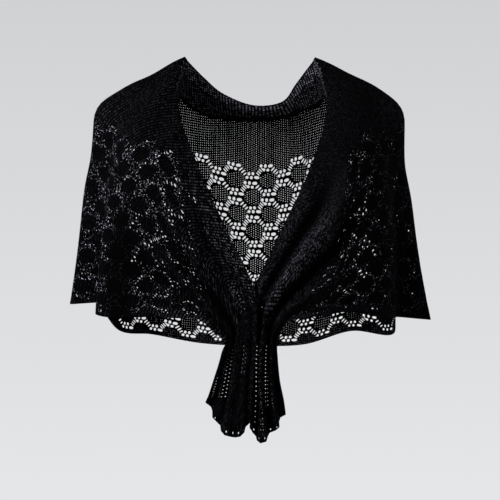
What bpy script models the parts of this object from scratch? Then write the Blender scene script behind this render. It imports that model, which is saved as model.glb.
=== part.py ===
"""Openwork knitted shawl, worn over the shoulders as a short cape and gathered at the front waist.

Units in the tables are millimetres. The frame has +X at the wearer's left, -Y at the front and +Z up,
and its origin is midway between the two points where the shawl lies on the tops of the shoulders.

The cloth is one long strip. It is described by sections that run across the strip, from its neck edge
to its hem edge, one after another from the right tail, round the back, to the left tail.
"""

from typing import NamedTuple

import bmesh
import bpy
import numpy as np

MM = 0.001

# Cloth and seams
WALL = 2.0
SEAM_GAP = 0.35
PLEATED_SEAM_GAP = 1.9

# Openwork: zigzag bands of eyelets between rows of medallions, each row half a repeat from the last
BANDS = 11
REPEAT_ALONG = 48.0
HEM_BORDER = 4.7
EYELET_AHEAD = 9.6
EYELET_BELOW = 0.33
EYELET_WIDE = 6.3
EYELET_HIGH = 5.6
EYELET_MARGIN = 1.4

# Mesh lines across the strip, and along each panel
LINES_ACROSS = 22
LINES_BACK = 46
LINES_FRONT = 22
LINES_TAIL = 9
SECTION_STEPS = 48


class Section(NamedTuple):
    """A curve across the strip: its neck edge, two handles that shape it, its hem edge.

    plain is the part of its length, from the neck edge, that is plain knit.
    """

    name: str
    neck: tuple
    over: tuple
    drop: tuple
    hem: tuple
    plain: float


RIGHT_SIDE = [
    Section("tail end", (0, -123, -494), (-8, -125, -532), (-37, -124, -535), (-57, -116, -474), 1.0),
    Section("tail lower", (3, -129, -454), (-9, -130, -462), (-32, -128, -467), (-52, -120, -461), 1.0),
    Section("tail upper", (8, -134, -404), (-5, -135, -411), (-24, -132, -419), (-43, -124, -432), 1.0),
    Section("tail neck", (9, -136, -375), (-4, -138, -379), (-19, -136, -392), (-37, -128, -411), 0.9),
    Section("gather", (8, -134, -339), (-5, -138, -346), (-19, -136, -366), (-32, -130, -395), 0.6),
    Section("near gather", (-5, -122, -299), (-27, -135, -310), (-48, -136, -340), (-49, -131, -378), 0.3),
    Section("waist", (-27, -114, -254), (-60, -132, -267), (-82, -134, -317), (-67, -128, -363), 0.17),
    Section("breast", (-60, -98, -180), (-104, -126, -203), (-120, -130, -286), (-102, -122, -361), 0.11),
    Section("chest", (-87, -74, -115), (-127, -116, -143), (-152, -124, -250), (-140, -112, -360), 0.12),
    Section("chest side", (-97, -55, -78), (-148, -98, -115), (-180, -104, -209), (-181, -92, -362), 0.2),
    Section("fold edge", (-102, -38, -49), (-166, -72, -77), (-199, -76, -175), (-210, -66, -358), 0.28),
    Section("inner fold", (-98, -17, -20), (-194, -25, -58), (-209, -42, -132), (-201, -8, -344), 0.33),
    Section("arm line", (-92, 0, 0), (-260, 12, -67), (-212, 18, -94), (-253, 14, -346), 0.35),
    Section("elbow", (-87, 9, -5), (-213, 35, -40), (-233, 75, -105), (-225, 52, -340), 0.34),
    Section("back arm", (-79, 20, -13), (-172, 65, -32), (-201, 112, -110), (-189, 86, -386), 0.31),
    Section("blade", (-65, 38, -26), (-123, 95, -38), (-139, 124, -182), (-143, 112, -393), 0.31),
    Section("mid back", (-39, 61, -46), (-64, 112, -88), (-72, 130, -219), (-73, 118, -406), 0.265),
]

CENTRE = Section("centre back", (6, 75, -62), (6, 112, -110), (6, 132, -226), (3, 118, -410), 0.25)

LEFT_SIDE = [
    Section("mid back", (46, 60, -58), (67, 112, -92), (76, 130, -219), (79, 118, -408), 0.25),
    Section("blade", (65, 37, -35), (125, 95, -41), (139, 124, -182), (149, 112, -388), 0.28),
    Section("back arm", (79, 20, -17), (169, 65, -32), (201, 112, -110), (207, 86, -391), 0.31),
    Section("elbow", (87, 9, -7), (220, 35, -40), (230, 75, -105), (210, 58, -361), 0.34),
    Section("arm line", (92, 0, -1), (264, 12, -62), (194, 18, -94), (254, 14, -368), 0.35),
    Section("inner fold", (99, -17, -17), (197, -25, -51), (204, -42, -132), (210, 0, -364), 0.33),
    Section("fold edge", (101, -36, -35), (169, -72, -72), (195, -76, -175), (193, -62, -362), 0.28),
    Section("chest side", (106, -55, -67), (151, -98, -111), (175, -106, -216), (168, -92, -357), 0.22),
    Section("chest", (97, -78, -115), (129, -118, -150), (152, -124, -257), (130, -112, -353), 0.28),
    Section("breast", (74, -98, -177), (112, -128, -210), (125, -132, -286), (98, -122, -358), 0.5),
    Section("waist", (47, -112, -232), (75, -134, -263), (90, -136, -317), (69, -128, -361), 0.6),
    Section("near gather", (22, -119, -284), (45, -136, -307), (62, -137, -343), (48, -131, -367), 0.6),
    Section("gather", (0, -121, -333), (16, -133, -343), (31, -136, -366), (35, -130, -397), 0.7),
    Section("tail neck", (-3, -121, -375), (14, -132, -382), (27, -136, -395), (35, -128, -417), 0.9),
    Section("tail upper", (-4, -121, -405), (14, -130, -414), (27, -134, -427), (37, -126, -441), 1.0),
    Section("tail lower", (-2, -120, -453), (12, -127, -467), (29, -130, -475), (43, -122, -471), 1.0),
    Section("tail end", (0, -118, -496), (5, -124, -537), (17, -126, -540), (46, -118, -490), 1.0),
]

SECTIONS = RIGHT_SIDE + [CENTRE] + LEFT_SIDE
CENTRE_INDEX = len(RIGHT_SIDE)


class Fold(NamedTuple):
    """A soft ridge, or a trough when height is negative, from a section near the chest into the gather."""

    side: int
    start: str
    across_start: float
    end: str
    across_end: float
    height: float
    half_width: float


RIGHT, LEFT = -1, 1
FOLDS = [
    Fold(RIGHT, "chest side", 0.72, "waist", 0.80, -7, 0.09),
    Fold(RIGHT, "chest", 0.36, "gather", 0.45, 5, 0.07),
    Fold(RIGHT, "chest", 0.44, "gather", 0.66, -7, 0.06),
    Fold(RIGHT, "breast", 0.20, "gather", 0.30, -4, 0.05),
    Fold(LEFT, "chest side", 0.31, "gather", 0.46, 16, 0.08),
    Fold(LEFT, "chest", 0.17, "gather", 0.24, -13, 0.06),
    Fold(LEFT, "chest side", 0.50, "gather", 0.60, -13, 0.06),
    Fold(LEFT, "chest", 0.72, "near gather", 0.78, 5, 0.06),
]


class Corner(NamedTuple):
    """Where the cloth turns down over a shoulder: its reach along, place and half width across, and lift."""

    side: int
    reach: float
    across: float
    half_width: float
    height: float


SHOULDER_CORNERS = [
    Corner(RIGHT, 55.0, 0.335, 0.06, 8.0),
    Corner(RIGHT, 55.0, 0.13, 0.07, -4.5),
    Corner(RIGHT, 55.0, 0.50, 0.08, -4.0),
    Corner(LEFT, 55.0, 0.325, 0.06, 8.0),
    Corner(LEFT, 55.0, 0.13, 0.07, -3.5),
    Corner(LEFT, 55.0, 0.50, 0.08, -5.0),
]


class Pleats(NamedTuple):
    """How deep the small pleats of the gather are at a section, on both sides."""

    section: str
    depth: float


PLEAT_COUNT = {RIGHT: 4.0, LEFT: 3.5}
PLEAT_START = {RIGHT: 0.15, LEFT: 0.6}
PLEATS = [
    Pleats("breast", 0.0),
    Pleats("waist", 1.2),
    Pleats("near gather", 3.0),
    Pleats("gather", 4.5),
    Pleats("tail neck", 5.0),
    Pleats("tail upper", 6.0),
    Pleats("tail lower", 7.0),
    Pleats("tail end", 6.0),
]


class Band(NamedTuple):
    """Where the free lower edge of the turned-in neckband hangs, measured from the neck edge above it."""

    side: int
    section: str
    lower: tuple


NECKBAND = [
    Band(RIGHT, "arm line", (-5, 6, -56)),
    Band(RIGHT, "back arm", (3, 12, -59)),
    Band(RIGHT, "blade", (4, 9, -52)),
    Band(RIGHT, "mid back", (3, 7, -36)),
    Band(LEFT, "mid back", (4, 6, -22)),
    Band(LEFT, "blade", (9, 8, -36)),
    Band(LEFT, "back arm", (10, 8, -50)),
    Band(LEFT, "arm line", (9, 6, -60)),
]
NECKBAND_CENTRE = (0, 5, -22)
NECKBAND_INSET = 2.6
NECKBAND_LINES = 30


def bezier(p0, p1, p2, p3, steps):
    t = np.linspace(0, 1, steps)[:, None]
    return (1 - t) ** 3 * p0 + 3 * (1 - t) ** 2 * t * p1 + 3 * (1 - t) * t**2 * p2 + t**3 * p3


def even_steps(points, steps):
    """The same curve with its points an equal length apart."""
    length = np.concatenate([[0], np.cumsum(np.linalg.norm(np.diff(points, axis=0), axis=1))])
    at = np.linspace(0, length[-1], steps)
    return np.stack([np.interp(at, length, points[:, k]) for k in range(3)], axis=1)


def smooth_between(stations, values, at):
    """A smooth curve through values, one for each station, read at the positions at."""
    slope = np.gradient(values, stations, axis=0)
    i = np.clip(np.searchsorted(stations, at) - 1, 0, len(stations) - 2)
    span = stations[i + 1] - stations[i]
    t = (at - stations[i]) / span
    t, span = t[:, None], span[:, None]
    rise, fall = t * t * (3 - 2 * t), 1 - t * t * (3 - 2 * t)
    leave, arrive = t * (1 - t) ** 2, -t * t * (1 - t)
    return fall * values[i] + rise * values[i + 1] + span * (leave * slope[i] + arrive * slope[i + 1])


def section_grid():
    curves = []
    for section in SECTIONS:
        points = [np.array(p, float) for p in (section.neck, section.over, section.drop, section.hem)]
        curves.append(even_steps(bezier(*points, 4 * SECTION_STEPS), SECTION_STEPS + 1))
    return np.array(curves)


GRID = section_grid()
LACE_MIDDLE = slice(SECTION_STEPS * 2 // 5, None)
STEP_ALONG = np.linalg.norm(np.diff(GRID, axis=0), axis=2)[:, LACE_MIDDLE].mean(axis=1)
STATIONS = np.concatenate([[0], np.cumsum(STEP_ALONG)])
LENGTHS = np.linalg.norm(np.diff(GRID, axis=1), axis=2).sum(axis=1)


def station(side, name):
    """How far along the strip a named section lies."""
    order = range(CENTRE_INDEX) if side == RIGHT else range(CENTRE_INDEX + 1, len(SECTIONS))
    return next(STATIONS[i] for i in order if SECTIONS[i].name == name)


def bare_surface(along, across):
    """Points of the cloth's middle before its folds, at distances along it and fractions across it."""
    place = across * SECTION_STEPS
    low = np.clip(place.astype(int), 0, SECTION_STEPS - 1)
    part = (place - low)[:, None]
    flat = GRID.reshape(len(SECTIONS), -1)
    rows = smooth_between(STATIONS, flat, along).reshape(-1, SECTION_STEPS + 1, 3)
    pick = np.arange(len(along))
    return rows[pick, low] * (1 - part) + rows[pick, low + 1] * part


def outward(along, across):
    """Unit directions that point out of the cape."""
    step_along, step_across = 2.0, 0.01
    first = np.clip(along - step_along, 0, STATIONS[-1])
    last = np.clip(along + step_along, 0, STATIONS[-1])
    low, high = np.clip(across - step_across, 0, 1), np.clip(across + step_across, 0, 1)
    lengthwise = bare_surface(last, across) - bare_surface(first, across)
    crosswise = bare_surface(along, high) - bare_surface(along, low)
    normal = np.cross(lengthwise, crosswise)
    return normal / np.linalg.norm(normal, axis=1)[:, None]


def ramp(value, low, high):
    t = np.clip((value - low) / (high - low), 0, 1)
    return t * t * (3 - 2 * t)


def fold_height(along, across):
    """How far the folds and pleats lift the cloth."""
    lift = np.zeros(len(along))
    for corner in SHOULDER_CORNERS:
        near = np.exp(-(((along - station(corner.side, "arm line")) / corner.reach) ** 2))
        lift += corner.height * near * np.exp(-(((across - corner.across) / corner.half_width) ** 2))
    for fold in FOLDS:
        start, end = station(fold.side, fold.start), station(fold.side, fold.end)
        share = np.clip((along - start) / (end - start), 0, 1)
        centre = fold.across_start + share * (fold.across_end - fold.across_start)
        strength = ramp(share, 0, 0.4) * (1 - 0.55 * ramp(share, 0.75, 1))
        lift += fold.height * strength * np.exp(-(((across - centre) / fold.half_width) ** 2))
    for side in (RIGHT, LEFT):
        where = np.array([station(side, pleats.section) for pleats in PLEATS])
        depth = np.array([pleats.depth for pleats in PLEATS])
        order = np.argsort(where)
        here = np.interp(along, where[order], depth[order])
        on_side = (along - STATIONS[CENTRE_INDEX]) * side > 0
        turns = PLEAT_COUNT[side] * across + PLEAT_START[side]
        lift += np.where(on_side, here * np.sin(2 * np.pi * turns), 0)
    return lift


def surface(along, across):
    along, across = np.asarray(along, float), np.asarray(across, float)
    return bare_surface(along, across) + outward(along, across) * fold_height(along, across)[:, None]


def face_direction(along, across):
    """Unit directions square to the folded cloth."""
    first, last = np.clip(along - 1, 0, STATIONS[-1]), np.clip(along + 1, 0, STATIONS[-1])
    low, high = np.clip(across - 0.004, 0, 1), np.clip(across + 0.004, 0, 1)
    lengthwise = surface(last, across) - surface(first, across)
    crosswise = surface(along, high) - surface(along, low)
    normal = np.cross(lengthwise, crosswise)
    return normal / np.linalg.norm(normal, axis=1)[:, None]


def seam_offset(along, across):
    """The distance along the strip that leaves half a seam's gap at one place on a seam."""
    if along in (0, STATIONS[-1]):
        return 0
    span = np.array([along - 0.5, along + 0.5])
    ends = bare_surface(span, np.full(2, across))
    pleated = not station(RIGHT, "waist") < along < station(LEFT, "waist")
    gap = PLEATED_SEAM_GAP if pleated else SEAM_GAP
    return gap / 2 / np.linalg.norm(ends[1] - ends[0])


def new_object(name, mesh, colour, collection):
    material = bpy.data.materials.new(name + "_knit")
    material.use_nodes = True
    shader = material.node_tree.nodes["Principled BSDF"]
    shader.inputs["Base Color"].default_value = colour
    shader.inputs["Roughness"].default_value = 0.85
    shader.inputs["Metallic"].default_value = 0.0
    mesh.materials.append(material)
    mesh.shade_smooth()
    obj = bpy.data.objects.new(name, mesh)
    collection.objects.link(obj)
    return obj


def thicken(work):
    """Turns a flat layout, in distances along and fractions across, into the wall that it stands for.

    Both skins lie on the same directions as the next panel's, so that the edges at a seam stay parallel.
    """
    flat = np.array([vert.co[:] for vert in work.verts])
    middle, direction = surface(flat[:, 0], flat[:, 1]), face_direction(flat[:, 0], flat[:, 1])
    outer, inner = (middle + direction * WALL / 2) * MM, (middle - direction * WALL / 2) * MM
    faces, rims = list(work.faces), [edge.link_loops[0] for edge in work.edges if edge.is_boundary]
    twins = {}
    for vert, outside, inside in zip(list(work.verts), outer, inner):
        vert.co = outside
        twins[vert] = work.verts.new(inside)
    for face in faces:
        work.faces.new([twins[vert] for vert in reversed(face.verts)])
    for loop in rims:
        here, there = loop.vert, loop.link_loop_next.vert
        work.faces.new([there, here, twins[here], twins[there]])
    bmesh.ops.recalc_face_normals(work, faces=work.faces)


def eyelets(start, end):
    """Middles of the largest eyelets between two distances along the strip, one for each repeat."""
    centre = STATIONS[CENTRE_INDEX]
    last_lace = [station(side, "waist") for side in (RIGHT, LEFT)]
    found = []
    for band in range(BANDS):
        offset = REPEAT_ALONG / 2 if band % 2 else 0
        first = int(np.ceil((last_lace[0] - centre - offset) / REPEAT_ALONG))
        stop = int(np.floor((last_lace[1] - centre - offset) / REPEAT_ALONG)) + 1
        for count in range(first, stop):
            along = centre + offset + count * REPEAT_ALONG + EYELET_AHEAD
            if not start + EYELET_WIDE < along < end - EYELET_WIDE:
                continue
            length = np.interp(along, STATIONS, LENGTHS)
            plain = np.interp(along, STATIONS, [section.plain for section in SECTIONS])
            lace = 1 - plain - HEM_BORDER / length
            found.append((along, plain + lace * (band + 0.5 + EYELET_BELOW) / BANDS, length))
    return found


def panel(name, start, end, lines, colour, collection):
    """A length of the strip between two distances along it, with its eyelets cut through."""
    work = bmesh.new()
    bmesh.ops.create_grid(work, x_segments=lines, y_segments=LINES_ACROSS, size=0.5)
    for vert in work.verts:
        across = vert.co.y + 0.5
        first, last = start + seam_offset(start, across), end - seam_offset(end, across)
        vert.co = (first + (vert.co.x + 0.5) * (last - first), across, 0)
    cell_along, cell_across = (end - start) / lines, 1 / LINES_ACROSS
    cells = {}
    for face in work.faces:
        middle = face.calc_center_median()
        cells[int((middle.x - start) / cell_along), int(middle.y / cell_across)] = face
    for along, across, length in eyelets(start, end):
        cell = int((along - start) / cell_along), int(across / cell_across)
        half_along, half_across = EYELET_WIDE / 2, EYELET_HIGH / 2 / length
        room_along = cell_along / 2 - half_along - EYELET_MARGIN
        room_across = cell_across / 2 - half_across - EYELET_MARGIN / length
        middle_along = start + (cell[0] + 0.5) * cell_along
        middle_across = (cell[1] + 0.5) * cell_across
        along = middle_along + np.clip(along - middle_along, -room_along, room_along)
        across = middle_across + np.clip(across - middle_across, -room_across, room_across)
        face = cells[cell]
        bmesh.ops.inset_individual(work, faces=[face], thickness=0.001)
        for vert in face.verts:
            vert.co.x = along + np.sign(vert.co.x - middle_along) * half_along
            vert.co.y = across + np.sign(vert.co.y - middle_across) * half_across
        bmesh.ops.delete(work, geom=[face], context="FACES_ONLY")
    thicken(work)
    mesh = bpy.data.meshes.new(name)
    work.to_mesh(mesh)
    work.free()
    return new_object(name, mesh, colour, collection)


def neckband(collection, colour):
    """The neck edge turned down inside the back, from one shoulder top to the other."""
    places = np.array([station(band.side, band.section) for band in NECKBAND] + [STATIONS[CENTRE_INDEX]])
    hangs = np.array([band.lower for band in NECKBAND] + [NECKBAND_CENTRE], float)
    order = np.argsort(places)
    places, hangs = places[order], hangs[order]
    along = np.linspace(places[0], places[-1], NECKBAND_LINES)
    edge = np.zeros_like(along)
    top = surface(along, edge) - outward(along, edge) * NECKBAND_INSET
    lower = top + smooth_between(places, hangs, along)
    work = bmesh.new()
    bmesh.ops.create_grid(work, x_segments=NECKBAND_LINES - 1, y_segments=3, size=0.5)
    for vert in work.verts:
        column = round((vert.co.x + 0.5) * (NECKBAND_LINES - 1))
        share = vert.co.y + 0.5
        vert.co = (top[column] * (1 - share) + lower[column] * share) * MM
    mesh = bpy.data.meshes.new("neckband")
    work.to_mesh(mesh)
    work.free()
    obj = new_object("neckband", mesh, colour, collection)
    wall = obj.modifiers.new("wall", "SOLIDIFY")
    wall.thickness = WALL * MM
    wall.offset = 0
    return obj


def build():
    for obj in list(bpy.data.objects):
        bpy.data.objects.remove(obj)
    collection = bpy.data.collections.new("knitted_shawl")
    bpy.context.scene.collection.children.link(collection)
    yarn = (0.012, 0.012, 0.018, 1)
    gather = station(RIGHT, "gather"), station(LEFT, "gather")
    arm = station(RIGHT, "elbow"), station(LEFT, "elbow")
    panel("tail_right", 0, gather[0], LINES_TAIL, yarn, collection)
    panel("front_right", gather[0], arm[0], LINES_FRONT, yarn, collection)
    panel("back", arm[0], arm[1], LINES_BACK, yarn, collection)
    panel("front_left", arm[1], gather[1], LINES_FRONT, yarn, collection)
    panel("tail_left", gather[1], STATIONS[-1], LINES_TAIL, yarn, collection)
    neckband(collection, yarn)


build()
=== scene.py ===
"""Black openwork knitted shawl, worn as a short cape and gathered at the front waist with two tails."""

import math
from typing import NamedTuple

import bmesh
import bpy
import numpy as np
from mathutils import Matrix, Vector
from mathutils.geometry import delaunay_2d_cdt


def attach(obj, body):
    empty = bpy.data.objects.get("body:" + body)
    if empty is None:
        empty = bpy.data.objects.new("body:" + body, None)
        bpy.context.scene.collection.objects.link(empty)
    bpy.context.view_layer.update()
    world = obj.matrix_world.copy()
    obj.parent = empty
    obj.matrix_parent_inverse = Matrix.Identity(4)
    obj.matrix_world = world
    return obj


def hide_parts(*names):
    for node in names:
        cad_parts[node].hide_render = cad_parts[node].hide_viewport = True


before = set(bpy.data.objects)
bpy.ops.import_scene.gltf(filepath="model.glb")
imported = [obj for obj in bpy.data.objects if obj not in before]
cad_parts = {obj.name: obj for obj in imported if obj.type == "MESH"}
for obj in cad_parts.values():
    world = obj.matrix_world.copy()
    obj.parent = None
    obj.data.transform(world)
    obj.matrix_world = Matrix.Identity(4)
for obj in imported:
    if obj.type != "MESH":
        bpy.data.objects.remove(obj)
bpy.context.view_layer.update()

# The back: the widest stretch of one long strip of fine black knit, worked in one with the fronts.
# Below the neck edge come a plain yoke, eleven zigzag bands of eyelets round medallions, and a hem.
# The whole strip starts from it, so the strip's sections, folds, lace chart and yarn are set out here.

# Sizes are in mm until a mesh is made. Shares across the strip are 0 at the neck edge and 1 at the hem.
MM = 0.001
CLOTH_THICK = 1.3
LACE_BANDS = 11
LACE_REPEAT = 48.0
BAND_PITCH = 25.0
HEM_BORDER = 4.7


class Section(NamedTuple):
    """A curve across the strip in mm: neck edge, two handles, hem edge, and its plain share."""

    name: str
    neck: tuple
    over: tuple
    drop: tuple
    hem: tuple
    plain: float


RIGHT, LEFT = -1, 1
RIGHT_SECTIONS = [
    Section("tail end", (0, -123, -494), (-8, -125, -532), (-37, -124, -535), (-57, -116, -474), 1.0),
    Section("tail lower", (3, -129, -454), (-9, -130, -462), (-32, -128, -467), (-52, -120, -461), 1.0),
    Section("tail upper", (8, -134, -404), (-5, -135, -411), (-24, -132, -419), (-43, -124, -432), 1.0),
    Section("tail neck", (9, -136, -375), (-4, -138, -379), (-19, -136, -392), (-37, -128, -411), 0.9),
    Section("gather", (8, -134, -339), (-5, -138, -346), (-19, -136, -366), (-32, -130, -395), 0.6),
    Section("near gather", (-5, -122, -299), (-27, -135, -310), (-48, -136, -340), (-49, -131, -378), 0.3),
    Section("waist", (-27, -114, -254), (-60, -132, -267), (-82, -134, -317), (-67, -128, -363), 0.17),
    Section("breast", (-60, -98, -180), (-104, -126, -203), (-120, -130, -286), (-102, -122, -361), 0.11),
    Section("chest", (-87, -74, -115), (-127, -116, -143), (-152, -124, -250), (-140, -112, -360), 0.12),
    Section("chest side", (-97, -55, -78), (-148, -98, -115), (-180, -104, -209), (-181, -92, -362), 0.2),
    Section("fold edge", (-102, -38, -49), (-166, -72, -77), (-199, -76, -175), (-210, -66, -358), 0.28),
    Section("inner fold", (-98, -17, -20), (-194, -25, -58), (-209, -42, -132), (-201, -8, -344), 0.33),
    Section("arm line", (-92, 0, 0), (-260, 12, -67), (-212, 18, -94), (-253, 14, -346), 0.35),
    Section("elbow", (-87, 9, -5), (-213, 35, -40), (-233, 75, -105), (-225, 52, -340), 0.34),
    Section("back arm", (-79, 20, -13), (-172, 65, -32), (-201, 112, -110), (-189, 86, -386), 0.31),
    Section("blade", (-65, 38, -26), (-123, 95, -38), (-139, 124, -182), (-143, 112, -393), 0.31),
    Section("mid back", (-39, 61, -46), (-64, 112, -88), (-72, 130, -219), (-73, 118, -406), 0.265),
]
CENTRE_SECTION = Section("centre", (6, 75, -62), (6, 112, -110), (6, 132, -226), (3, 118, -410), 0.25)
LEFT_SECTIONS = [
    Section("mid back", (46, 60, -58), (67, 112, -92), (76, 130, -219), (79, 118, -408), 0.25),
    Section("blade", (65, 37, -35), (125, 95, -41), (139, 124, -182), (149, 112, -388), 0.28),
    Section("back arm", (79, 20, -17), (169, 65, -32), (201, 112, -110), (207, 86, -391), 0.31),
    Section("elbow", (87, 9, -7), (220, 35, -40), (230, 75, -105), (210, 58, -361), 0.34),
    Section("arm line", (92, 0, -1), (264, 12, -62), (194, 18, -94), (254, 14, -368), 0.35),
    Section("inner fold", (99, -17, -17), (197, -25, -51), (204, -42, -132), (210, 0, -364), 0.33),
    Section("fold edge", (101, -36, -35), (169, -72, -72), (195, -76, -175), (193, -62, -362), 0.28),
    Section("chest side", (106, -55, -67), (151, -98, -111), (175, -106, -216), (168, -92, -357), 0.22),
    Section("chest", (97, -78, -115), (129, -118, -150), (152, -124, -257), (130, -112, -353), 0.28),
    Section("breast", (74, -98, -177), (112, -128, -210), (125, -132, -286), (98, -122, -358), 0.5),
    Section("waist", (47, -112, -232), (75, -134, -263), (90, -136, -317), (69, -128, -361), 0.6),
    Section("near gather", (22, -119, -284), (45, -136, -307), (62, -137, -343), (48, -131, -367), 0.6),
    Section("gather", (0, -121, -333), (16, -133, -343), (31, -136, -366), (35, -130, -397), 0.7),
    Section("tail neck", (-3, -121, -375), (14, -132, -382), (27, -136, -395), (35, -128, -417), 0.9),
    Section("tail upper", (-4, -121, -405), (14, -130, -414), (27, -134, -427), (37, -126, -441), 1.0),
    Section("tail lower", (-2, -120, -453), (12, -127, -467), (29, -130, -475), (43, -122, -471), 1.0),
    Section("tail end", (0, -118, -496), (5, -124, -537), (17, -126, -540), (46, -118, -490), 1.0),
]
SECTIONS = RIGHT_SECTIONS + [CENTRE_SECTION] + LEFT_SECTIONS
CENTRE = len(RIGHT_SECTIONS)
SECTION_STEPS = 96
CURVE_STEPS = 4 * SECTION_STEPS


def section_points(section):
    """Points an equal length apart along one section's curve."""
    corners = (section.neck, section.over, section.drop, section.hem)
    p0, p1, p2, p3 = (np.array(corner, float) for corner in corners)
    t = np.linspace(0, 1, CURVE_STEPS)[:, None]
    curve = (1 - t) ** 3 * p0 + 3 * (1 - t) ** 2 * t * p1 + 3 * (1 - t) * t**2 * p2 + t**3 * p3
    length = np.concatenate([[0], np.cumsum(np.linalg.norm(np.diff(curve, axis=0), axis=1))])
    at = np.linspace(0, length[-1], SECTION_STEPS + 1)
    return np.stack([np.interp(at, length, curve[:, k]) for k in range(3)], axis=1)


# Distances along the strip are measured over its lower part, where the lace is.
GRID = np.array([section_points(section) for section in SECTIONS])
LACE_PART = slice(SECTION_STEPS * 2 // 5, None)
STEP_ALONG = np.linalg.norm(np.diff(GRID, axis=0), axis=2)[:, LACE_PART].mean(axis=1)
STATIONS = np.concatenate([[0], np.cumsum(STEP_ALONG)])
LENGTHS = np.linalg.norm(np.diff(GRID, axis=1), axis=2).sum(axis=1)
PLAIN = np.array([section.plain for section in SECTIONS])


def station(side, name):
    """How far along the strip a named section lies, in mm."""
    order = range(CENTRE) if side == RIGHT else range(CENTRE + 1, len(SECTIONS))
    return next(STATIONS[i] for i in order if SECTIONS[i].name == name)


def smooth_between(stations, values, at):
    """A smooth curve through values, one for each station, read at the positions at."""
    slope = np.gradient(values, stations, axis=0)
    i = np.clip(np.searchsorted(stations, at) - 1, 0, len(stations) - 2)
    span = (stations[i + 1] - stations[i])[:, None]
    t = (at - stations[i])[:, None] / span
    rise = t * t * (3 - 2 * t)
    leave, arrive = t * (1 - t) ** 2, -t * t * (1 - t)
    bend = span * (leave * slope[i] + arrive * slope[i + 1])
    return (1 - rise) * values[i] + rise * values[i + 1] + bend


def bare_surface(along, across):
    """Points of the middle of the cloth, as surface gives them, but with no folds or pleats."""
    place = across * SECTION_STEPS
    low = np.clip(place.astype(int), 0, SECTION_STEPS - 1)
    part = (place - low)[:, None]
    rows = smooth_between(STATIONS, GRID.reshape(len(SECTIONS), -1), along)
    rows = rows.reshape(-1, SECTION_STEPS + 1, 3)
    pick = np.arange(len(along))
    return rows[pick, low] * (1 - part) + rows[pick, low + 1] * part


# A direction is taken from points this far off, in mm along and share across.
REACH_ALONG = 2.0
REACH_ACROSS = 0.01


def directions(surface_function, along, across):
    """Unit directions that point out of the cape, square to a surface."""
    first = np.clip(along - REACH_ALONG, 0, STATIONS[-1])
    last = np.clip(along + REACH_ALONG, 0, STATIONS[-1])
    low, high = np.clip(across - REACH_ACROSS, 0, 1), np.clip(across + REACH_ACROSS, 0, 1)
    lengthwise = surface_function(last, across) - surface_function(first, across)
    crosswise = surface_function(along, high) - surface_function(along, low)
    normal = np.cross(lengthwise, crosswise)
    return normal / np.linalg.norm(normal, axis=1)[:, None]


def ramp(value, low, high):
    """A smooth rise from 0 where the value is low to 1 where it is high."""
    t = np.clip((value - low) / (high - low), 0, 1)
    return t * t * (3 - 2 * t)


class Fold(NamedTuple):
    """A ridge, or a trough when height is negative, that runs from one section to another."""

    side: int
    start: str
    across_start: float
    end: str
    across_end: float
    height: float
    half_width: float


FOLDS = [
    Fold(RIGHT, "chest side", 0.72, "waist", 0.80, -7, 0.09),
    Fold(RIGHT, "chest", 0.36, "gather", 0.45, 5, 0.07),
    Fold(RIGHT, "chest", 0.44, "gather", 0.66, -7, 0.06),
    Fold(RIGHT, "breast", 0.20, "gather", 0.30, -4, 0.05),
    Fold(LEFT, "chest side", 0.31, "gather", 0.46, 16, 0.08),
    Fold(LEFT, "chest", 0.17, "gather", 0.24, -13, 0.06),
    Fold(LEFT, "chest side", 0.50, "gather", 0.60, -13, 0.06),
    Fold(LEFT, "chest", 0.72, "near gather", 0.78, 5, 0.06),
]
# A fold rises over the first part of its length, and flattens by a share over the last part.
FOLD_RISE = 0.4
FOLD_FALL = 0.75
FOLD_FLATTENING = 0.55
PLEAT_COUNT = {RIGHT: 4.0, LEFT: 3.5}
PLEAT_START = {RIGHT: 0.15, LEFT: 0.6}
PLEAT_DEPTH = {
    "breast": 0.0,
    "waist": 1.2,
    "near gather": 3.0,
    "gather": 4.5,
    "tail neck": 5.0,
    "tail upper": 6.0,
    "tail lower": 7.0,
    "tail end": 6.0,
}


class Bulge(NamedTuple):
    """A rounded rise of the cloth, or a dip when height is negative, with its reach along in mm."""

    side: int
    section: str
    reach: float
    across: float
    half_width: float
    height: float


# Each shoulder has a corner where the cloth turns down, with a dip above it and one below.
SHOULDER_CORNERS = [
    Bulge(RIGHT, "arm line", 55.0, 0.335, 0.06, 8.0),
    Bulge(RIGHT, "arm line", 55.0, 0.13, 0.07, -4.5),
    Bulge(RIGHT, "arm line", 55.0, 0.50, 0.08, -4.0),
    Bulge(LEFT, "arm line", 55.0, 0.325, 0.06, 8.0),
    Bulge(LEFT, "arm line", 55.0, 0.13, 0.07, -3.5),
    Bulge(LEFT, "arm line", 55.0, 0.50, 0.08, -5.0),
]


def bulge_height(bulges, along, across):
    """How far bulges lift the cloth at a place, in mm."""
    height = np.zeros(len(along))
    for bulge in bulges:
        near = np.exp(-(((along - station(bulge.side, bulge.section)) / bulge.reach) ** 2))
        height += bulge.height * near * np.exp(-(((across - bulge.across) / bulge.half_width) ** 2))
    return height


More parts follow.
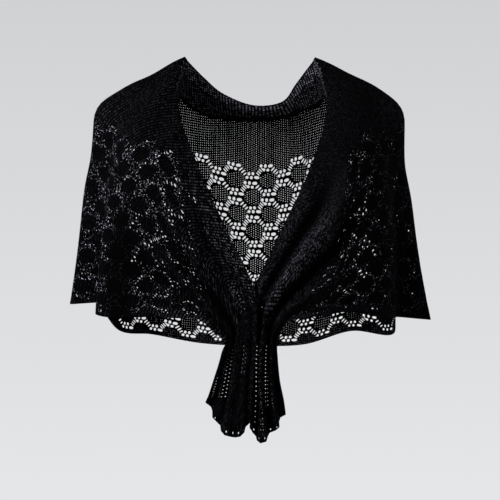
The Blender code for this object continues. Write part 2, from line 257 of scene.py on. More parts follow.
def fold_height(along, across):
    """How far the shoulder corners, folds and pleats lift the cloth at a place, in mm."""
    lift = bulge_height(SHOULDER_CORNERS, along, across)
    for fold in FOLDS:
        start, end = station(fold.side, fold.start), station(fold.side, fold.end)
        share = np.clip((along - start) / (end - start), 0, 1)
        centre = fold.across_start + share * (fold.across_end - fold.across_start)
        strength = ramp(share, 0, FOLD_RISE) * (1 - FOLD_FLATTENING * ramp(share, FOLD_FALL, 1))
        lift += fold.height * strength * np.exp(-(((across - centre) / fold.half_width) ** 2))
    for side in (RIGHT, LEFT):
        where = np.array([station(side, name) for name in PLEAT_DEPTH])
        depth = np.array(list(PLEAT_DEPTH.values()))
        order = np.argsort(where)
        on_side = (along - STATIONS[CENTRE]) * side > 0
        turns = PLEAT_COUNT[side] * across + PLEAT_START[side]
        here = np.interp(along, where[order], depth[order])
        lift += np.where(on_side, here * np.sin(2 * np.pi * turns), 0)
    return lift


def surface(along, across):
    """Points of the middle of the cloth, in mm, at distances along the strip and shares across it."""
    lift = fold_height(along, across)[:, None]
    return bare_surface(along, across) + directions(bare_surface, along, across) * lift


# The bands get narrower from the sixth one down. Near the middle of the back each band is also drawn
# wider or narrower by a share and moved along by some mm, which fades out between two distances.
EVEN_BANDS = 6
NARROWING = 0.02
LACE_DEPTH = LACE_BANDS - NARROWING * (LACE_BANDS - EVEN_BANDS) ** 2
SPREAD_BANDS = (0, 1, 3, 5, 7, 11)
SPREAD = (0.12, 0.10, 0.03, -0.03, -0.02, 0.0)
SHIFT = (-6, -6, -2, 1, 6, 0)
DRAWN_WITHIN, DRAWN_UP_TO = 90, 240
DRAWN_ROUNDS = 8


def lace_across(along, bands):
    """The share across the strip of a place counted in lace bands from the plain part."""
    plain = np.interp(along, STATIONS, PLAIN)
    border = HEM_BORDER / np.interp(along, STATIONS, LENGTHS)
    depth = bands - NARROWING * np.maximum(bands - EVEN_BANDS, 0) ** 2
    return plain + (1 - plain - border) * depth / LACE_DEPTH


def lace_bands(along, across):
    """The reverse of lace_across: a place counted in lace bands, from its share across."""
    plain = np.interp(along, STATIONS, PLAIN)
    border = HEM_BORDER / np.interp(along, STATIONS, LENGTHS)
    depth = (across - plain) / (1 - plain - border) * LACE_DEPTH
    below = np.clip(depth - EVEN_BANDS, 0, None)
    narrow = (1 - np.sqrt(np.maximum(1 - 4 * NARROWING * below, 0))) / (2 * NARROWING)
    return np.where(depth < EVEN_BANDS, depth, EVEN_BANDS + narrow)


def lace_drawn(along, bands):
    """How far the lace is drawn wider and moved at a place near the middle of the back."""
    near = 1 - ramp(np.abs(along - STATIONS[CENTRE]), DRAWN_WITHIN, DRAWN_UP_TO)
    return near * np.interp(bands, SPREAD_BANDS, SPREAD), near * np.interp(bands, SPREAD_BANDS, SHIFT)


def lace_repeats(along, bands):
    """A distance along the strip counted in lace repeats from the middle of the back."""
    spread, shift = lace_drawn(along, bands)
    return (along - STATIONS[CENTRE] - shift) / (LACE_REPEAT * (1 + spread))


def lace_along(repeats, bands):
    """The reverse of lace_repeats: a distance along the strip, in mm."""
    along = STATIONS[CENTRE] + LACE_REPEAT * repeats
    for _ in range(DRAWN_ROUNDS):
        spread, shift = lace_drawn(along, bands)
        along = STATIONS[CENTRE] + shift + LACE_REPEAT * repeats * (1 + spread)
    return along


class Gap(NamedTuple):
    """One gap of the lace chart: its middle from the top of a wave, its size and its turn."""

    x: float
    y: float
    wide: float
    high: float
    turn: float


WAVE_CHART = [
    Gap(-7.8, -8.9, 4.3, 5.0, 12),
    Gap(-1.4, -8.6, 4.1, 5.4, 4),
    Gap(6.4, -8.2, 7.6, 4.8, -6),
    Gap(-3.6, -3.1, 4.2, 4.4, 18),
    Gap(2.4, -2.4, 4.4, 4.3, 0),
    Gap(9.9, -3.0, 7.6, 2.3, -43),
    Gap(13.2, 0.0, 7.2, 2.3, -43),
    Gap(16.0, 3.3, 5.8, 2.2, -40),
    Gap(21.9, 3.0, 3.9, 5.0, 10),
    Gap(27.8, 2.7, 4.1, 4.7, -8),
    Gap(19.2, 8.3, 4.3, 4.6, 14),
    Gap(25.5, 8.5, 4.3, 4.9, 0),
    Gap(33.6, 8.3, 8.0, 4.6, 3),
    Gap(35.3, 3.0, 6.6, 1.9, 43),
    Gap(37.3, 0.4, 7.4, 1.9, 43),
    Gap(39.2, -2.3, 6.8, 1.9, 43),
    Gap(41.7, -4.6, 4.4, 1.9, 40),
]
GAP_SIDES = 8
GAP_ROUNDNESS = 0.8


def gap_outline(gap):
    """A rounded outline of a gap, as offsets in mm from the top of its wave."""
    turn = math.radians(gap.turn)
    outline = []
    for k in range(GAP_SIDES):
        angle = 2 * math.pi * (k + 0.5) / GAP_SIDES
        x = gap.wide / 2 * math.copysign(abs(math.cos(angle)) ** GAP_ROUNDNESS, math.cos(angle))
        y = gap.high / 2 * math.copysign(abs(math.sin(angle)) ** GAP_ROUNDNESS, math.sin(angle))
        outline.append((
            gap.x + x * math.cos(turn) - y * math.sin(turn),
            gap.y + x * math.sin(turn) + y * math.cos(turn),
        ))
    return np.array(outline)


WAVE_OUTLINES = [gap_outline(gap) for gap in WAVE_CHART]
# Two hollows between the fronts' folds get painted shade, and look deeper than the cloth there lies.
PAINTED_SHADE_HOLLOWS = [
    Bulge(RIGHT, "chest side", 20.0, 0.78, 0.22, -18.0),
    Bulge(LEFT, "inner fold", 16.0, 0.8, 0.3, -6.0),
]
# The lace ends at the waist sections, further out for each band below the end band. Its gaps are
# closed deep in a hollow, and in the two lowest bands they are smaller on the left half.
LACE_END_BAND = 4
LACE_END_STEP = 9.0
GAP_CLEARANCE = 3.0
CLOSED_DEPTH = 7.0
HEM_STRETCH = 0.84


def lace_gaps(start, end, stretch=1.0):
    """Outlines of the gaps between two distances along the strip, in mm along and share across."""
    gaps = []
    for band in range(LACE_BANDS):
        low = station(RIGHT, "waist") - LACE_END_STEP * (band - LACE_END_BAND)
        high = station(LEFT, "waist") + LACE_END_STEP * (band - LACE_END_BAND)
        crest = 0.5 if band % 2 == 0 else 0
        first = int((low - STATIONS[CENTRE]) // LACE_REPEAT) - 1
        last = int((high - STATIONS[CENTRE]) // LACE_REPEAT) + 2
        for repeat in range(first, last):
            size = stretch * (HEM_STRETCH if band >= LACE_BANDS - 2 and repeat > 0 else 1)
            for outline in WAVE_OUTLINES:
                outline = outline.mean(axis=0) + (outline - outline.mean(axis=0)) * size
                bands = band + 0.5 + outline[:, 1] / BAND_PITCH
                along = lace_along(crest + repeat + outline[:, 0] / LACE_REPEAT, bands)
                across = lace_across(along, bands)
                if bulge_height(PAINTED_SHADE_HOLLOWS, along, across).mean() < -CLOSED_DEPTH:
                    continue
                inside = along.min() > max(low, start + GAP_CLEARANCE)
                if inside and along.max() < min(high, end - GAP_CLEARANCE):
                    gaps.append(np.stack([along, across], axis=1))
    return gaps


PANEL_DEPTH = 360.0
EDGE_STEP = 5.0
FILL_STEP = 6.5
FILL_CLEARANCE = 2.2
FILL_PARTS = 40


def fill_points(start, end, gaps, depth):
    """Points spread evenly over a panel, clear of its edges and gaps."""
    columns, rows = int((end - start) / FILL_STEP), int(depth / FILL_STEP)
    x, y = np.meshgrid(np.arange(columns) + 0.5, np.arange(rows) + 0.5)
    x = (x + 0.5 * (np.arange(rows)[:, None] % 2) - 0.25) / columns * (end - start) + start
    points = np.stack([x.ravel(), y.ravel() / rows * depth], axis=1)
    if not gaps:
        return points
    rims = np.concatenate([gap * (1, depth) for gap in gaps])
    rims = np.concatenate([rims, [(gap * (1, depth)).mean(axis=0) for gap in gaps]])
    clear = np.ones(len(points), bool)
    for part in np.array_split(np.arange(len(points)), FILL_PARTS):
        distance = np.abs(points[part, None] - rims[None]).max(axis=2).min(axis=1)
        clear[part] = distance > FILL_CLEARANCE
    return points[clear]


# Only triangles inside the outlines are asked for, and points this near each other are one.
INSIDE_OUTLINE = 1
MERGE_WITHIN = 1e-5


def layout(start, end, gaps, depth=PANEL_DEPTH):
    """Triangles over a flat panel that leave its gaps open: points along and across, and faces."""
    along_steps = max(2, round((end - start) / EDGE_STEP))
    across_steps = round(depth / EDGE_STEP)
    bottom = [(start + (end - start) * k / along_steps, 0) for k in range(along_steps)]
    right = [(end, depth * k / across_steps) for k in range(across_steps)]
    top = [(end - (end - start) * k / along_steps, depth) for k in range(along_steps)]
    left = [(start, depth * (1 - k / across_steps)) for k in range(across_steps)]
    points = bottom + right + top + left
    outlines = [list(range(len(points)))]
    for gap in gaps:
        outlines.append(list(range(len(points), len(points) + len(gap))))
        points += [(a, c * depth) for a, c in gap]
    points += [tuple(p) for p in fill_points(start, end, gaps, depth)]
    vectors = [Vector(p) for p in points]
    result = delaunay_2d_cdt(vectors, [], outlines, INSIDE_OUTLINE, MERGE_WITHIN)
    flat, _, faces, _, _, origins = result
    kept = [face for face, origin in zip(faces, origins) if set(origin) == {0}]
    flat = np.array([tuple(p) for p in flat])
    return flat[:, 0], flat[:, 1] / depth, kept


def round_from(start, along, across):
    """How far round the cape places are from one station, in mm, each along its own row of stitches."""
    rows = np.cumsum(np.linalg.norm(np.diff(GRID, axis=0), axis=2), axis=0)
    rows = np.concatenate([np.zeros((1, SECTION_STEPS + 1)), rows])
    low = np.clip((across * SECTION_STEPS).astype(int), 0, SECTION_STEPS - 1)
    part = across * SECTION_STEPS - low
    distances = []
    for place in (along, np.full(len(along), float(start))):
        i = np.clip(np.searchsorted(STATIONS, place) - 1, 0, len(STATIONS) - 2)
        t = (place - STATIONS[i]) / (STATIONS[i + 1] - STATIONS[i])
        near = rows[i, low] * (1 - t) + rows[i + 1, low] * t
        far = rows[i, low + 1] * (1 - t) + rows[i + 1, low + 1] * t
        distances.append(near * (1 - part) + far * part)
    return distances[0] - distances[1]


def knitted_piece(name, along, across, faces, place, wales, depth=None):
    """A cloth shell from a flat layout: place sets where its points go, and wales how far round they are.

    Its UV maps are cloth in metres, lace in repeats and bands, and fold, how far a fold lifts it in mm
    with the hollows of painted shade added, for the painted fold shade and highlight.
    A depth in mm is given for a piece with no lace or folds of its own.
    """
    middle = place(along, across)
    work = bmesh.new()
    verts = [work.verts.new(point * MM) for point in middle]
    for face in faces:
        work.faces.new([verts[i] for i in face])
    work.verts.index_update()
    for vert in [v for v in work.verts if not v.link_faces]:
        work.verts.remove(vert)
    cloth, lace, fold = (work.loops.layers.uv.new(layer) for layer in ("cloth", "lace", "fold"))
    if depth is None:
        length = np.interp(along, STATIONS, LENGTHS)
        # The fold map takes the folds' lift and the hollows, which darken the yarn's colour as painted
        # shade.
        lift = fold_height(along, across) + bulge_height(PAINTED_SHADE_HOLLOWS, along, across)
    else:
        length = np.full(len(along), depth)
        lift = np.zeros(len(along))
    bands = lace_bands(along, across)
    repeats = lace_repeats(along, bands)
    for face in work.faces:
        for loop in face.loops:
            i = loop.vert.index
            loop[cloth].uv = wales[i] * MM, across[i] * length[i] * MM
            loop[lace].uv = repeats[i], bands[i]
            loop[fold].uv = lift[i], 0
    mesh = bpy.data.meshes.new(name)
    work.to_mesh(mesh)
    work.free()
    mesh.shade_smooth()
    obj = bpy.data.objects.new(name, mesh)
    bpy.context.scene.collection.objects.link(obj)
    wall = obj.modifiers.new("wall", "SOLIDIFY")
    wall.thickness = CLOTH_THICK * MM
    wall.offset = 0
    bpy.ops.object.select_all(action="DESELECT")
    obj.select_set(True)
    bpy.context.view_layer.objects.active = obj
    bpy.ops.object.modifier_apply(modifier="wall")
    return obj


class Wire:
    """One output of a shader's nodes. Arithmetic on it adds the Math nodes that work it out."""

    def __init__(self, nodes, socket=None):
        self.nodes = nodes
        self.socket = socket

    def output(self, index):
        return Wire(self.nodes, self.socket.node.outputs[index])

    def node(self, kind, settings=None, inputs=None, output=0):
        made = self.nodes.new(kind)
        for name, value in (settings or {}).items():
            setattr(made, name, value)
        for name, value in (inputs or {}).items():
            if isinstance(value, Wire):
                self.nodes.id_data.links.new(value.socket, made.inputs[name])
            else:
                made.inputs[name].default_value = value
        return Wire(self.nodes, made.outputs[output])

    def maths(self, operation, *values):
        return self.node("ShaderNodeMath", {"operation": operation}, dict(enumerate(values)))

    def __add__(self, other):
        return self.maths("ADD", self, other)

    __radd__ = __add__

    def __sub__(self, other):
        return self.maths("SUBTRACT", self, other)

    def __rsub__(self, other):
        return self.maths("SUBTRACT", other, self)

    def __mul__(self, other):
        return self.maths("MULTIPLY", self, other)

    __rmul__ = __mul__

    def __truediv__(self, other):
        return self.maths("DIVIDE", self, other)

    def __gt__(self, other):
        return self.maths("GREATER_THAN", self, other)

    def __lt__(self, other):
        return self.maths("LESS_THAN", self, other)


# The yarn's colour runs from dark to lit by a tone that holds its own tone with painted shade and painted
# highlights.
YARN_DARK = (0.0002, 0.0002, 0.0003, 1)
YARN_LIT = (0.0200, 0.0193, 0.0235, 1)
YARN_ROUGHNESS = 0.7
YARN_GLOSS = 0.003
# Painted fold shade and highlight: the yarn's colour grows lighter by a share for each mm that the cloth
# stands out, and darker where it sinks, between two limits.
LIGHT_PER_LIFT = 0.11
DARKEST_FOLD, BRIGHTEST_FOLD = 0.05, 1.9
# Stitches stray either way by up to half this many mm, in patches whose size the noise's scale sets.
STRAY = 0.4
PATCH_SCALE = 28.0
# The lace starts and ends in a soft wave, in bands, and its medallions have half sizes in mm.
LACE_START = 0.3
WAVE_HEIGHT, WAVE_LIMIT = 0.38, 0.24
HEM_START = 0.55
MEDALLION_PLACE = 0.42
MEDALLION_WIDE, MEDALLION_HIGH = 14.0, 10.8
MEDALLION_ROUNDNESS = 2.2
# The pinholes' size changes from patch to patch, with every second ditch, and by chance.
PATCH_SHARE, SECOND_DITCH, DITCH_CHANCE = 0.7, 0.25, 0.4
# Below the last row of whole medallions, and in the hem, they are smaller by a share.
LAST_MEDALLIONS = 9.4
LAST_CLOSED, HEM_CLOSED = 0.6, 0.85
# The painted shade of the ditches between wales, how round a stitch's painted highlight is, and how far a
# row's bump follows its stitches.
DITCH_LIGHT = 0.15
BEAD_ROUNDNESS = 0.7
ROW_BUMP = 0.4
# At the gather and on the tails, so many repeats from the middle, the tight cloth gets brighter painted
# stitch highlights, and the strands' painted glints fade out.
GATHER_REPEATS = 11.4
GATHER_SHINE = 2.8
# In the lace a plain stitch is duller, with less painted highlight, and single strands get painted glints
# instead.
LACE_DULLNESS = 0.7
STRAND_SCALE = 560.0
STRAND_SIZE = 0.36
STRAND_LIGHT = 3.0
STRAND_RARITY = 5.0
STITCH_BUMP, STITCH_HEIGHT = 0.6, 0.0006


def knit_material(name, wale, stitch, plain_open, medallion_open, body, sparkle, patchy, lace_sparkle):
    """Fine black knit with wales and stitches that many mm apart.

    The open values say how much light the stitches let through, body how light the yarn's own tone is as a
    whole, sparkle how bright the painted highlights of single stitches are, patchy how few of them get
    one, and lace_sparkle how bright the painted glints on the strands of the openwork are.
    """
    material = bpy.data.materials.new(name)
    material.use_nodes = True
    nodes = material.node_tree.nodes
    shader = nodes["Principled BSDF"]
    turn = 2 * math.pi
    wire = Wire(nodes)
    cloth_map = wire.node("ShaderNodeUVMap", {"uv_map": "cloth"})
    lace_map = wire.node("ShaderNodeUVMap", {"uv_map": "lace"})
    fold_map = wire.node("ShaderNodeUVMap", {"uv_map": "fold"})
    cloth = wire.node("ShaderNodeSeparateXYZ", inputs={0: cloth_map})
    lace = wire.node("ShaderNodeSeparateXYZ", inputs={0: lace_map})
    lift = wire.node("ShaderNodeSeparateXYZ", inputs={0: fold_map})
    # Painted shade and highlight: the yarn's colour is darker where the fold map sinks and lighter where
    # it rises.
    painted_fold_light = wire.maths("MAXIMUM", lift * LIGHT_PER_LIFT + 1.0, DARKEST_FOLD)
    painted_fold_light = wire.maths("MINIMUM", painted_fold_light, BRIGHTEST_FOLD)

    # Where a point lies in the knit: columns of stitches, and the ditches between them.
    noise = {"Vector": cloth_map, "Scale": PATCH_SCALE, "Detail": 1.0}
    uneven = wire.node("ShaderNodeTexNoise", inputs=noise)
    stray = (uneven - 0.5) * STRAY
    wale_place = (cloth * (1 / MM) + stray) / wale
    row_place = (cloth.output(1) * (1 / MM) + stray) / stitch
    ditch = wire.maths("FLOOR", wale_place + 0.5)
    between_wales = wire.maths("COSINE", wale_place * turn) * 0.5 + 0.5
    between_stitches = wire.maths("COSINE", (row_place + ditch * 0.5) * turn) * 0.5 + 0.5

    # Where it lies in the lace: plain, medallion, openwork or hem.
    bands = lace.output(1)
    wave = wire.maths("COSINE", (lace - 0.5) * turn) * WAVE_HEIGHT
    wave = wire.maths("MAXIMUM", wire.maths("MINIMUM", wave, WAVE_LIMIT), -WAVE_LIMIT)
    in_lace = (bands + wave > LACE_START) * (bands + wave < LACE_BANDS - LACE_START)
    row = wire.maths("ROUND", bands)
    shift = wire.maths("FLOORED_MODULO", row, 2.0) * 0.5
    sideways = wire.maths("FLOORED_MODULO", lace + shift + MEDALLION_PLACE, 1.0) - 0.5
    sideways = wire.maths("ABSOLUTE", sideways) * (LACE_REPEAT / MEDALLION_WIDE)
    upward = wire.maths("ABSOLUTE", bands - row) * (BAND_PITCH / MEDALLION_HIGH)
    reach = wire.maths("POWER", sideways, MEDALLION_ROUNDNESS)
    reach = reach + wire.maths("POWER", upward, MEDALLION_ROUNDNESS)
    medallion = (reach < 1.0) * in_lace
    openwork = in_lace - medallion
    hem = bands > LACE_BANDS - HEM_START

    # Pinholes between the stitches let the light behind through.
    plain_share = (1 - in_lace) * (plain_open - hem * (plain_open * HEM_CLOSED))
    last_share = (bands > LAST_MEDALLIONS) * (medallion_open * LAST_CLOSED)
    medallion_share = medallion * (medallion_open - last_share)
    ditch_place = wire.node("ShaderNodeCombineXYZ", inputs={0: ditch})
    two_ways = {"noise_dimensions": "2D"}
    ditch_chance = wire.node("ShaderNodeTexWhiteNoise", two_ways, {"Vector": ditch_place})
    ditch_share = wire.maths("FLOORED_MODULO", ditch, 2.0) * SECOND_DITCH + ditch_chance * DITCH_CHANCE
    patch_share = uneven * PATCH_SHARE + (1 - PATCH_SHARE)
    open_share = (plain_share + medallion_share) * (patch_share + ditch_share)
    hole = between_wales * between_stitches > 1 - open_share

    # Painted highlights: single stitches and strands are given glints in the yarn's colour.
    column = wire.maths("FLOOR", wale_place)
    loop_place = row_place + column * 0.5
    loop_row = wire.maths("FLOOR", loop_place)
    cell = wire.node("ShaderNodeCombineXYZ", inputs={0: column, 1: loop_row})
    chance = wire.node("ShaderNodeTexWhiteNoise", two_ways, {"Vector": cell})
    bead = wire.maths("POWER", 1 - between_wales, 2.0)
    bead = bead * (1 - BEAD_ROUNDNESS - wire.maths("COSINE", loop_place * turn) * BEAD_ROUNDNESS)
    bead = wire.maths("MAXIMUM", bead, 0.0)
    # Painted stitch highlights grow brighter towards the gather, and the strands' painted glints fade out
    # there.
    from_gather = wire.maths("MINIMUM", GATHER_REPEATS - wire.maths("ABSOLUTE", lace), 1.0)
    from_gather = wire.maths("MAXIMUM", from_gather, 0.0)
    lit_loop = bead * wire.maths("POWER", chance, patchy)
    lit_loop = lit_loop * (sparkle - in_lace * (sparkle * LACE_DULLNESS))
    lit_loop = lit_loop * (1 + GATHER_SHINE - from_gather * GATHER_SHINE)
    # Painted glints on single strands of the openwork.
    strands = wire.node("ShaderNodeTexVoronoi", inputs={"Vector": cloth_map, "Scale": STRAND_SCALE})
    glint = wire.maths("MAXIMUM", STRAND_SIZE - strands, 0.0) * STRAND_LIGHT
    strand_chance = wire.node("ShaderNodeSeparateColor", inputs={0: strands.output(1)})
    glint = glint * wire.maths("POWER", strand_chance, STRAND_RARITY) * (openwork * lace_sparkle)
    # Painted shade: the ditches between the wales are darker than the wales, and the lace's wales duller.
    wale_light = (1 - between_wales) * (1 - in_lace * LACE_DULLNESS)
    wale_light = DITCH_LIGHT + wale_light * (1 - DITCH_LIGHT)
    tone = wale_light * body + lit_loop
    tone = (tone + glint * from_gather) * painted_fold_light
    colour = wire.node(
        "ShaderNodeMix",
        {"data_type": "RGBA", "clamp_factor": False},
        {0: tone, 6: YARN_DARK, 7: YARN_LIT},
        output=2,
    )
    height = 1 - between_wales * (1 - ROW_BUMP + between_stitches * ROW_BUMP)
    bump_inputs = {"Strength": STITCH_BUMP, "Distance": STITCH_HEIGHT, "Height": height}
    bump = wire.node("ShaderNodeBump", inputs=bump_inputs)
    links = material.node_tree.links
    links.new(colour.socket, shader.inputs["Base Color"])
    links.new((1 - hole).socket, shader.inputs["Alpha"])
    links.new(bump.socket, shader.inputs["Normal"])
    shader.inputs["Roughness"].default_value = YARN_ROUGHNESS
    shader.inputs["Specular IOR Level"].default_value = YARN_GLOSS
    return material


# Neighbouring pieces stop this far from the line where they meet.
SEAM = 0.15
ELBOW = {side: station(side, "elbow") for side in (RIGHT, LEFT)}
back_gaps = lace_gaps(ELBOW[RIGHT], ELBOW[LEFT])
flat = layout(ELBOW[RIGHT] + SEAM, ELBOW[LEFT] - SEAM, back_gaps)
back = knitted_piece("back_knit", *flat, surface, round_from(STATIONS[CENTRE], *flat[:2]))
back_look = knit_material(
    "back_knit",
    wale=3.3,
    stitch=3.3,
    plain_open=0.21,
    medallion_open=0.23,
    body=0.06,
    sparkle=1.6,
    patchy=3.0,
    lace_sparkle=1.0,
)
back.data.materials.append(back_look)
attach(back, "root")
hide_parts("back")

# The fronts: the same black knit goes on over each shoulder and narrows to the gather at the waist.
# The right front shows lace down to its hem. The left has a broad plain ridge that runs into the gather.
# They are knitted in one with the back, and each is a piece of its own from the elbow to the gather.

GATHER = {side: station(side, "gather") for side in (RIGHT, LEFT)}
FRONT_STRETCH = 0.7
right_front_look = knit_material(
    "front_right_knit",
    wale=4.8,
    stitch=1.8,
    plain_open=0.05,
    medallion_open=0.05,
    body=0.022,
    sparkle=1.1,
    patchy=2.5,
    lace_sparkle=46.0,
)
left_front_look = knit_material(
    "front_left_knit",
    wale=1.9,
    stitch=1.7,
    plain_open=0.03,
    medallion_open=0.03,
    body=0.03,
    sparkle=1.2,
    patchy=3.5,
    lace_sparkle=14.0,
)
for side, node, look, wide, area in (
    (RIGHT, "front_right", right_front_look, 0.39, 0.101),
    (LEFT, "front_left", left_front_look, 0.38, 0.105),
):
    low, high = sorted((GATHER[side], ELBOW[side]))
    flat = layout(low + SEAM, high - SEAM, lace_gaps(low, high, FRONT_STRETCH))
    front = knitted_piece(node + "_knit", *flat, surface, round_from(ELBOW[side], *flat[:2]))
    front.data.materials.append(look)
    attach(front, "root")
    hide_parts(node)

# The tails: the two ends of the strip, of the same black knit and pleated by the gather above them.
# Their knit opens into ladders, which show where a pleat faces the front, and each end has a row of
# small eyelets. They hang free.

TAIL_FLAT_DEPTH = 70.0
EYELET_PITCH = 0.085
EYELETS_FROM, EYELETS_TO = 0.06, 0.97
EYELET_INSET = 4
EYELET_SIZE = 2.2


class Ladder(NamedTuple):
    """Columns of small slots in a tail: how far from its end they run, in mm, and where across it."""

    side: int
    near_end: float
    far_end: float
    pitch: float
    columns: tuple
    wide: float
    high: float


LADDERS = [
    Ladder(RIGHT, 36, 124, 5.2, (0.63, 0.68, 0.73, 0.78, 0.84), 1.7, 1.4),
    Ladder(RIGHT, 22, 70, 5.0, (0.96,), 1.4, 1.5),
    Ladder(RIGHT, 62, 96, 5.2, (0.25, 0.32), 1.5, 1.5),
    Ladder(LEFT, 12, 108, 5.2, (0.24, 0.29, 0.34), 1.3, 1.3),
    Ladder(LEFT, 12, 108, 5.2, (0.43, 0.47), 1.4, 1.4),
    Ladder(LEFT, 34, 112, 4.8, (0.55, 0.59, 0.63, 0.67, 0.72), 1.5, 1.4),
]


def rounded_gap(along, across, high, wide, length):
    """An oval outline in mm along and share across, where the cloth is length mm from edge to edge."""
    turns = np.arange(GAP_SIDES) * 2 * math.pi / GAP_SIDES + math.pi / GAP_SIDES
    upright = along + high / 2 * np.cos(turns)
    return np.stack([upright, across + wide / 2 / length * np.sin(turns)], axis=1)


def tail_gaps(side):
    """Outlines of a tail's slots and eyelets, in mm along and share across."""
    end = 0 if side == RIGHT else STATIONS[-1]
    gaps = []
    for ladder in (ladder for ladder in LADDERS if ladder.side == side):
        for step in np.arange(ladder.near_end, ladder.far_end, ladder.pitch):
            along = end - side * step
            length = np.interp(along, STATIONS, LENGTHS)
            for across in ladder.columns:
                gaps.append(rounded_gap(along, across, ladder.high, ladder.wide, length))
    length = np.interp(end, STATIONS, LENGTHS)
    for across in np.arange(EYELETS_FROM, EYELETS_TO, EYELET_PITCH):
        gaps.append(rounded_gap(end - side * EYELET_INSET, across, EYELET_SIZE, EYELET_SIZE, length))
    return gaps


tail_look = knit_material(
    "tail_knit",
    wale=2.6,
    stitch=2.1,
    plain_open=0.02,
    medallion_open=0.02,
    body=0.02,
    sparkle=0.28,
    patchy=3.0,
    lace_sparkle=1.0,
)
for side, node, size, area in (
    (RIGHT, "tail_right", (0.13, 0.14), 0.016),
    (LEFT, "tail_left", (0.14, 0.15), 0.019),
):
    low, high = sorted((GATHER[side], 0 if side == RIGHT else STATIONS[-1]))
    flat = layout(low + SEAM, high - SEAM, tail_gaps(side), TAIL_FLAT_DEPTH)
    tail = knitted_piece(node + "_knit", *flat, surface, round_from(GATHER[side], *flat[:2]))
    tail.data.materials.append(tail_look)
    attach(tail, "root")
    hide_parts(node)

# The neckband: the neck edge turned down inside the back, with its free edge a little way off the cloth.
# It is plain black knit, deep at the shoulder tops and shallow at the middle. A narrow strip along its
# free edge gets a darker, closed copy of the knit, painted shadow under the free edge.

# How far the free edge hangs from the neck edge, in mm to the wearer's left, back and up.
NECKBAND_HANG = {
    (RIGHT, "chest side"): (0, 4, -4),
    (RIGHT, "fold edge"): (0, 6, -20),
    (RIGHT, "inner fold"): (-3, 8, -44),
    (RIGHT, "arm line"): (-5, 6, -56),
    (RIGHT, "back arm"): (3, 12, -59),
    (RIGHT, "blade"): (4, 9, -52),
    (RIGHT, "mid back"): (3, 7, -36),
    (LEFT, "mid back"): (4, 6, -22),
    (LEFT, "blade"): (9, 8, -36),
    (LEFT, "back arm"): (10, 8, -50),
    (LEFT, "arm line"): (9, 6, -60),
    (LEFT, "inner fold"): (4, 8, -44),
    (LEFT, "fold edge"): (0, 6, -20),
    (LEFT, "chest side"): (0, 4, -4),
}
NECKBAND_CENTRE = (0, 5, -22)
NECKBAND_DEPTH = 45.0
NECKBAND_INSET = 2.6
# The strip of painted shadow along the free edge is this wide in mm at the middle, and at the reach on
# each side of it.
NECKBAND_SHADOW = (9.0, 3.5)
SHADOW_REACH = 190
# On the left half the wales come to lean, from one distance from the middle to another.
WALE_LEAN = 0.25
LEAN_FROM, LEAN_TO = 20, 120
hang_places = np.array([station(side, name) for side, name in NECKBAND_HANG] + [STATIONS[CENTRE]])
hang_order = np.argsort(hang_places)
hang_places = hang_places[hang_order]
hangs = np.array(list(NECKBAND_HANG.values()) + [NECKBAND_CENTRE], float)[hang_order]


def neckband_surface(along, across):
    """Points of the middle of the neckband, in mm, at distances along it and shares down it."""
    edge = np.zeros(len(along))
    top = surface(along, edge) - directions(bare_surface, along, edge) * NECKBAND_INSET
    return top + smooth_between(hang_places, hangs, along) * across[:, None]


flat = layout(hang_places[0], hang_places[-1], [], NECKBAND_DEPTH)
neck_steps = np.linalg.norm(np.diff(GRID[:, 0], axis=0), axis=1)
neck_distance = np.concatenate([[0], np.cumsum(neck_steps)])
leaning = ramp(flat[0], STATIONS[CENTRE] + LEAN_FROM, STATIONS[CENTRE] + LEAN_TO)
lean = WALE_LEAN * leaning * flat[1] * NECKBAND_DEPTH
neck_wales = np.interp(flat[0], STATIONS, neck_distance) - lean
neckband = knitted_piece("neckband_knit", *flat, neckband_surface, neck_wales, NECKBAND_DEPTH)
neckband_look = knit_material(
    "neckband_knit",
    wale=5.2,
    stitch=2.7,
    plain_open=0.10,
    medallion_open=0.10,
    body=0.02,
    sparkle=9.0,
    patchy=1.3,
    lace_sparkle=0.0,
)
# A darker, closed copy of the neckband's knit for the strip along its free edge: painted shadow.
neckband_shadow_look = knit_material(
    "neckband_painted_shadow_knit",
    wale=4.2,
    stitch=2.0,
    plain_open=0.0,
    medallion_open=0.0,
    body=0.02,
    sparkle=0.3,
    patchy=3.0,
    lace_sparkle=0.0,
)
neckband.data.materials.append(neckband_look)
neckband.data.materials.append(neckband_shadow_look)
# Faces in the strip along the free edge get the darker copy, painted shadow under the band's edge.
hang_lengths = np.linalg.norm(hangs, axis=1)
cloth_place = neckband.data.uv_layers["cloth"].data
for polygon in neckband.data.polygons:
    places = [cloth_place[i].uv for i in polygon.loop_indices]
    round_neck, down = sum(places, Vector((0, 0))) / polygon.loop_total
    along = np.interp(round_neck / MM, neck_distance, STATIONS)
    shadow_width = np.interp(abs(along - STATIONS[CENTRE]), (0, SHADOW_REACH), NECKBAND_SHADOW)
    edge = 1 - shadow_width / np.interp(along, hang_places, hang_lengths)
    polygon.material_index = int(down > NECKBAND_DEPTH * MM * edge)
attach(neckband, "root")
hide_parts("neckband")

# The room: a plain pale matt floor, round and well below the tails.
# It fades into a pale grey surround, a little lighter low down. Both are of the scene, not the shawl.

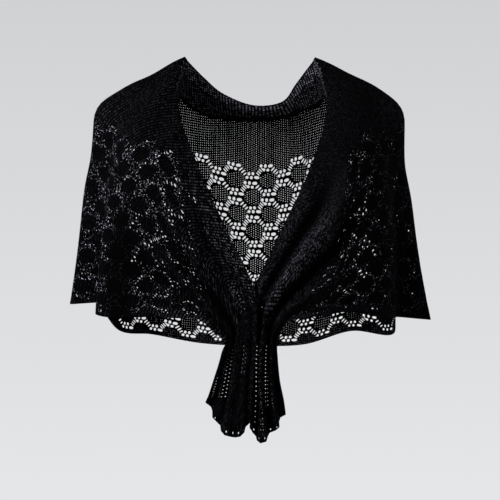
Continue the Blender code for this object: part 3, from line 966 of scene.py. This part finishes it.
FLOOR_DROP = 0.75
FLOOR_SIZE = 1.35
FLOOR_SIDES = 96
FLOOR_COLOUR = (0.55, 0.555, 0.561, 1)
FLOOR_ROUGHNESS = 0.9
FADE_FROM, FADE_TO = 0.5, FLOOR_SIZE * 0.9
HIGH_COLOUR = (0.617, 0.622, 0.636, 1)
LOW_COLOUR = (0.80, 0.81, 0.825, 1)
HORIZON = 0.16
bpy.ops.mesh.primitive_circle_add(
    vertices=FLOOR_SIDES, radius=FLOOR_SIZE, fill_type="NGON", location=(0, 0, -FLOOR_DROP)
)
floor = bpy.context.object
floor.name = "floor"
bpy.ops.object.transform_apply(location=True)
floor_look = bpy.data.materials.new("pale_floor")
floor_look.use_nodes = True
floor_nodes = floor_look.node_tree.nodes
floor_shader = floor_nodes["Principled BSDF"]
floor_shader.inputs["Base Color"].default_value = FLOOR_COLOUR
floor_shader.inputs["Roughness"].default_value = FLOOR_ROUGHNESS
floor_wire = Wire(floor_nodes)
floor_place = floor_wire.node("ShaderNodeTexCoord", output=3)
from_middle = floor_wire.node(
    "ShaderNodeVectorMath", {"operation": "LENGTH"}, {0: floor_place}, output=1
)
fade = floor_wire.node(
    "ShaderNodeMapRange",
    {"interpolation_type": "SMOOTHSTEP"},
    {0: from_middle, 1: FADE_FROM, 2: FADE_TO, 3: 1.0, 4: 0.0},
)
floor_look.node_tree.links.new(fade.socket, floor_shader.inputs["Alpha"])
floor.data.materials.append(floor_look)

world = bpy.data.worlds.new("surround")
world.use_nodes = True
bpy.context.scene.world = world
world_wire = Wire(world.node_tree.nodes)
direction = world_wire.node("ShaderNodeTexCoord", output=0)
upward = world_wire.node("ShaderNodeSeparateXYZ", inputs={0: direction}).output(2)
falling = world_wire.node(
    "ShaderNodeMapRange", inputs={0: upward, 1: -HORIZON, 2: HORIZON, 3: 1.0, 4: 0.0}
)
pale = world_wire.node(
    "ShaderNodeMix",
    {"data_type": "RGBA", "clamp_factor": True},
    {0: falling, 6: HIGH_COLOUR, 7: LOW_COLOUR},
    output=2,
)
surround = world.node_tree.nodes["Background"]
world.node_tree.links.new(pale.socket, surround.inputs["Color"])
surround.inputs["Strength"].default_value = 1.0

# The light: a large soft box in front, above and to the left, a weak one on the right,
# and a narrow one at the far left that catches the folds' edges. All three face the shawl's middle.

LIT_PLACE = Vector((0, 0, -0.25))
for light_name, place, size, power in (
    ("key light", (-1.8, -2.0, 1.3), 0.9, 170),
    ("fill light", (1.9, -1.9, 0.4), 1.4, 12),
    ("side light", (-2.2, 0.2, 0.3), 0.8, 30),
):
    lamp = bpy.data.lights.new(light_name, "AREA")
    lamp.size = size
    lamp.energy = power
    lamp_object = bpy.data.objects.new(light_name, lamp)
    lamp_object.location = place
    aim = LIT_PLACE - Vector(place)
    lamp_object.rotation_euler = aim.to_track_quat("-Z", "Y").to_euler()
    bpy.context.scene.collection.objects.link(lamp_object)

# The camera: level with the middle of the shawl and straight in front of it, as in the photograph.
# Its lens takes in a square 0.7 m wide at the shawl's shoulders.

CAMERA_DISTANCE = 2.7
CAMERA_HEIGHT = -0.27
CAMERA_REACH = 50
FRAME_WIDE = 0.7
camera = bpy.data.cameras.new("camera")
camera.lens = camera.sensor_width * CAMERA_DISTANCE / FRAME_WIDE
camera.clip_end = CAMERA_REACH
camera_object = bpy.data.objects.new("camera", camera)
camera_object.location = (0, -CAMERA_DISTANCE, CAMERA_HEIGHT)
camera_object.rotation_euler = (math.radians(90), 0, 0)
bpy.context.scene.collection.objects.link(camera_object)
bpy.context.scene.camera = camera_object
bpy.context.scene.view_settings.view_transform = "Standard"
